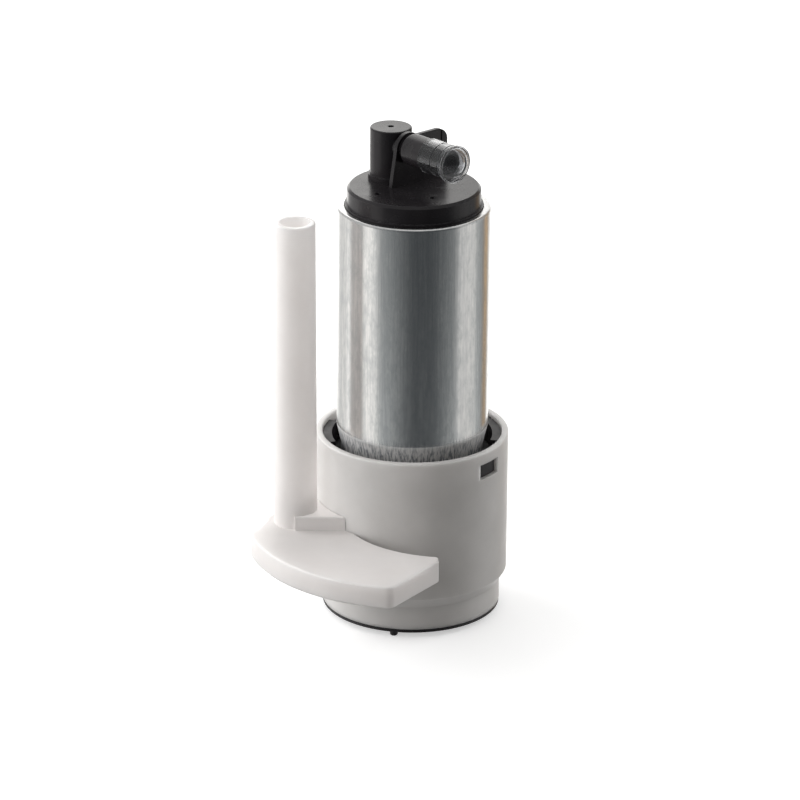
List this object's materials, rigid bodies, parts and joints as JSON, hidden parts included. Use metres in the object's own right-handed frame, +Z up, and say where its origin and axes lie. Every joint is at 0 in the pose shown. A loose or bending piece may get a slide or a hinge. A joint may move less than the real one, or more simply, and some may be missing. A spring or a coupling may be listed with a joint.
{
  "type": "in-tank fuel pump",
  "caption": "In-tank electric fuel pump in its grey plastic cup, with a white feed riser on a curved plate, a black outlet cover and a clear dust cap on the side outlet.",
  "frame": {"origin": "on the pump's axis, at the lower face of the cup's spigot", "axes": "+Z up along the pump's axis, towards the outlet; +X to the picture's right; -Y towards its camera"},
  "size_m": [0.0725, 0.0864, 0.1422],
  "materials": {
    "cup_plastic": "natural grey moulding, satin",
    "riser_plastic": "natural white moulding, satin",
    "black_gloss": "black moulding, semi-gloss",
    "black_satin": "black moulding, satin",
    "cap_clear": "clear grey, soft",
    "can_steel": "drawn can, satin with fine lengthwise streaks",
    "rubber": "matte",
    "net": "woven filter net",
    "steel": "ground",
    "spring_steel": "drawn wire",
    "magnet": "matte",
    "copper": "enamelled wire",
    "brass": "satin",
    "carbon": "matte",
    "tan_plastic": "moulded, matte"
  },
  "bodies": {
    "pump_unit": {"cup": "cup_plastic", "riser_flange": "riser_plastic", "riser_tube": "riser_plastic", "holder_sleeve": "black_satin", "damper_ring": "rubber", "base_frame": "black_satin", "base_mesh": "net", "intake_strainer": "net", "strainer_collar": "black_satin", "motor_can": "can_steel", "inlet_plate": "tan_plastic", "thrust_pin": "steel", "pump_housing": "tan_plastic", "lower_bush": "carbon", "upper_bush": "carbon", "magnet_a": "magnet", "magnet_b": "magnet", "magnet_clips": "spring_steel", "flux_ring": "steel", "brush_holder": "black_satin", "outlet_cover": "black_gloss", "outlet_fitting": "black_gloss", "cover_seal": "rubber", "check_seat": "tan_plastic", "check_spring": "spring_steel", "relief_seat": "brass", "relief_spring": "spring_steel", "brush_spring_a": "spring_steel", "brush_spring_b": "spring_steel", "brush_lead_a": "copper", "brush_lead_b": "copper", "terminal_a": "brass", "terminal_b": "brass", "choke_a": "magnet", "choke_b": "magnet"},
    "rotor": {"shaft": "steel", "impeller": "tan_plastic", "lamination_stack": "steel", "windings": "copper", "commutator": "carbon"},
    "brush_slider_a": {"brush_a": "carbon"},
    "brush_slider_b": {"brush_b": "carbon"},
    "check_valve": {"check_poppet": "tan_plastic"},
    "relief_valve": {"relief_ball": "steel"},
    "foot_flap": {"foot_valve": "rubber"},
    "dust_cap": {"nozzle_cap": "cap_clear"}
  },
  "joints": [
    {"name": "rotor_spin", "type": "hinge", "parent": "pump_unit", "child": "rotor", "pos_m": [0, 0, 0.077], "axis": [0, 0, 1], "continuous": true},
    {"name": "brush_a_feed", "type": "slide", "parent": "pump_unit", "child": "brush_slider_a", "axis": [0, 0, 1], "range_m": [0, 0.003], "stiffness_N_per_m": 60, "springref_m": -0.008, "deforming": ["brush_spring_a", "brush_lead_a"]},
    {"name": "brush_b_feed", "type": "slide", "parent": "pump_unit", "child": "brush_slider_b", "axis": [0, 0, 1], "range_m": [0, 0.003], "stiffness_N_per_m": 60, "springref_m": -0.008, "deforming": ["brush_spring_b", "brush_lead_b"]},
    {"name": "check_valve_lift", "type": "slide", "parent": "pump_unit", "child": "check_valve", "axis": [0, 0, 1], "range_m": [0, 0.003], "stiffness_N_per_m": 50, "springref_m": -0.004, "deforming": ["check_spring"]},
    {"name": "relief_valve_lift", "type": "slide", "parent": "pump_unit", "child": "relief_valve", "axis": [0, 0, 1], "range_m": [0, 0.0015], "stiffness_N_per_m": 400, "springref_m": -0.005, "deforming": ["relief_spring"]},
    {"name": "foot_valve_lift", "type": "slide", "parent": "pump_unit", "child": "foot_flap", "axis": [0, 0, 1], "range_m": [0, 0.0011]},
    {"name": "cap_pull", "type": "slide", "parent": "pump_unit", "child": "dust_cap", "axis": [0.6691, -0.7431, 0], "range_m": [0, 0.03]}
  ]
}
